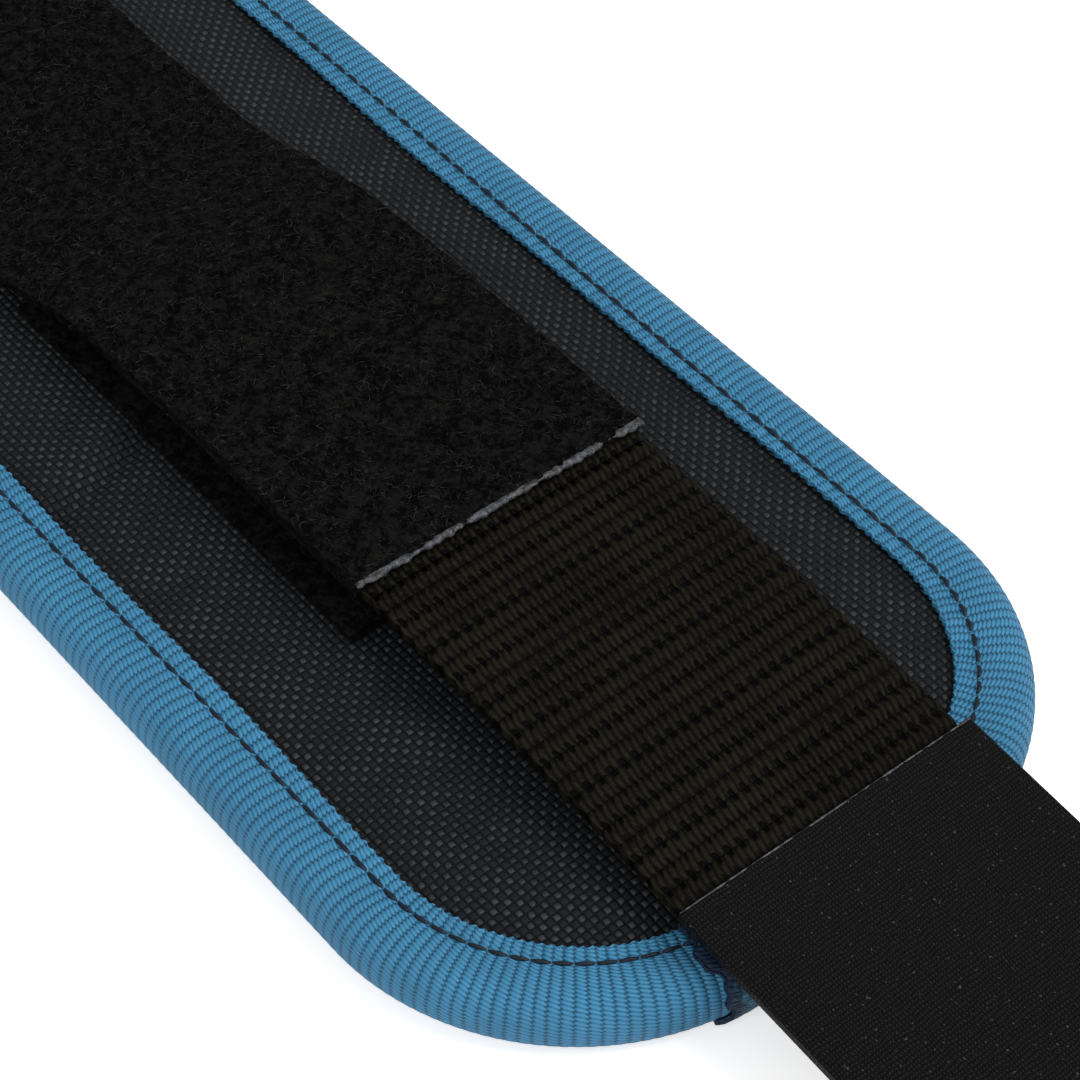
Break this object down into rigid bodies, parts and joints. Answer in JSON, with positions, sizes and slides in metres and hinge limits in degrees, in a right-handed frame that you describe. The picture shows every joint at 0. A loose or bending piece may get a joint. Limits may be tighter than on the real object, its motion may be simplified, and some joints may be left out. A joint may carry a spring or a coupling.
{
  "type": "gait belt",
  "caption": "Padded gait belt laid out flat: three-panel nylon pad with teal binding tape, ribbed webbing strap with loop tape, a hook-tape tail that folds back through a wire ring, and three webbing hand grips.",
  "frame": {"origin": "middle of the pad's underside, the face that the wearer feels, which rests on the table", "axes": "+X along the belt towards the hook-and-loop tail, +Y across the belt, +Z out of the belt away from the wearer"},
  "size_m": [0.8934, 0.109, 0.0579],
  "materials": {
    "face": "black coarse-woven nylon",
    "lining": "dark knitted lining",
    "foam": "closed-cell foam",
    "binding": "teal blue grosgrain tape",
    "thread": "navy thread",
    "webbing": "heavy ribbed webbing",
    "loop": "fuzzy loop tape",
    "hook": "fine moulded hook tape",
    "sleeve": "padded nylon sleeve",
    "steel": "nickel-plated wire"
  },
  "bodies": {
    "centre": {"centre_lining": "lining", "centre_foam": "foam", "centre_face": "face", "centre_binding": "binding", "centre_binding_seam": "thread", "centre_strap": "webbing", "centre_loop_tape": "loop", "centre_box_stitch": "thread", "right_grip_feet": "webbing", "long_grip_feet": "webbing"},
    "left_wing": {"left_lining": "lining", "left_foam": "foam", "left_face": "face", "left_binding": "binding", "left_binding_seam": "thread", "left_strap": "webbing", "left_box_stitch": "thread", "left_grip_feet": "webbing"},
    "right_wing": {"right_lining": "lining", "right_foam": "foam", "right_face": "face", "right_binding": "binding", "right_binding_seam": "thread", "right_strap": "webbing", "right_loop_tape": "loop", "pad_loop_patch": "loop"},
    "loose_strap": {"free_strap": "webbing", "free_loop_tape": "loop", "under_hook_tape": "hook"},
    "tail": {"tail_strap": "webbing", "tail_hook_tape": "hook"},
    "tab": {"ring_tab": "webbing"},
    "ring": {"ring": "steel"},
    "left_grip": {"left_grip_webbing": "webbing", "left_grip_sleeve": "sleeve"},
    "right_grip": {"right_grip_webbing": "webbing", "right_grip_sleeve": "sleeve"},
    "long_grip": {"long_grip_webbing": "webbing", "long_grip_sleeve": "sleeve"}
  },
  "joints": [
    {"name": "left_wing_fold", "type": "hinge", "parent": "centre", "child": "left_wing", "pos_m": [-0.14, 0, 0.0132], "axis": [0, 1, 0], "range_deg": [0, 90]},
    {"name": "right_wing_fold", "type": "hinge", "parent": "centre", "child": "right_wing", "pos_m": [0.14, 0, 0.0132], "axis": [0, -1, 0], "range_deg": [0, 90]},
    {"name": "strap_lift", "type": "hinge", "parent": "right_wing", "child": "loose_strap", "pos_m": [0.158, 0, 0.0132], "axis": [0, -1, 0], "range_deg": [0, 60]},
    {"name": "tail_fold", "type": "hinge", "parent": "loose_strap", "child": "tail", "pos_m": [0.287, 0, 0.01825], "axis": [0, 1, 0], "range_deg": [-175.51, 0]},
    {"name": "tab_fold", "type": "hinge", "parent": "left_wing", "child": "tab", "pos_m": [-0.333, 0, 0.0126], "axis": [0, 1, 0], "range_deg": [0, 90]},
    {"name": "ring_swing", "type": "hinge", "parent": "tab", "child": "ring", "pos_m": [-0.38774, 0, 0.00513], "axis": [0, 1, 0], "range_deg": [0, 140]},
    {"name": "left_grip_flop", "type": "hinge", "parent": "left_wing", "child": "left_grip", "pos_m": [-0.235, 0, 0.0242], "axis": [0, 1, 0], "range_deg": [-70, 70], "stiffness_Nm_per_rad": 0.02},
    {"name": "right_grip_flop", "type": "hinge", "parent": "centre", "child": "right_grip", "pos_m": [0.045, 0, 0.0242], "axis": [0, 1, 0], "range_deg": [-70, 70], "stiffness_Nm_per_rad": 0.02},
    {"name": "long_grip_flop", "type": "hinge", "parent": "centre", "child": "long_grip", "pos_m": [-0.06, 0, 0.026], "axis": [1, 0, 0], "range_deg": [-70, 70], "stiffness_Nm_per_rad": 0.02}
  ]
}
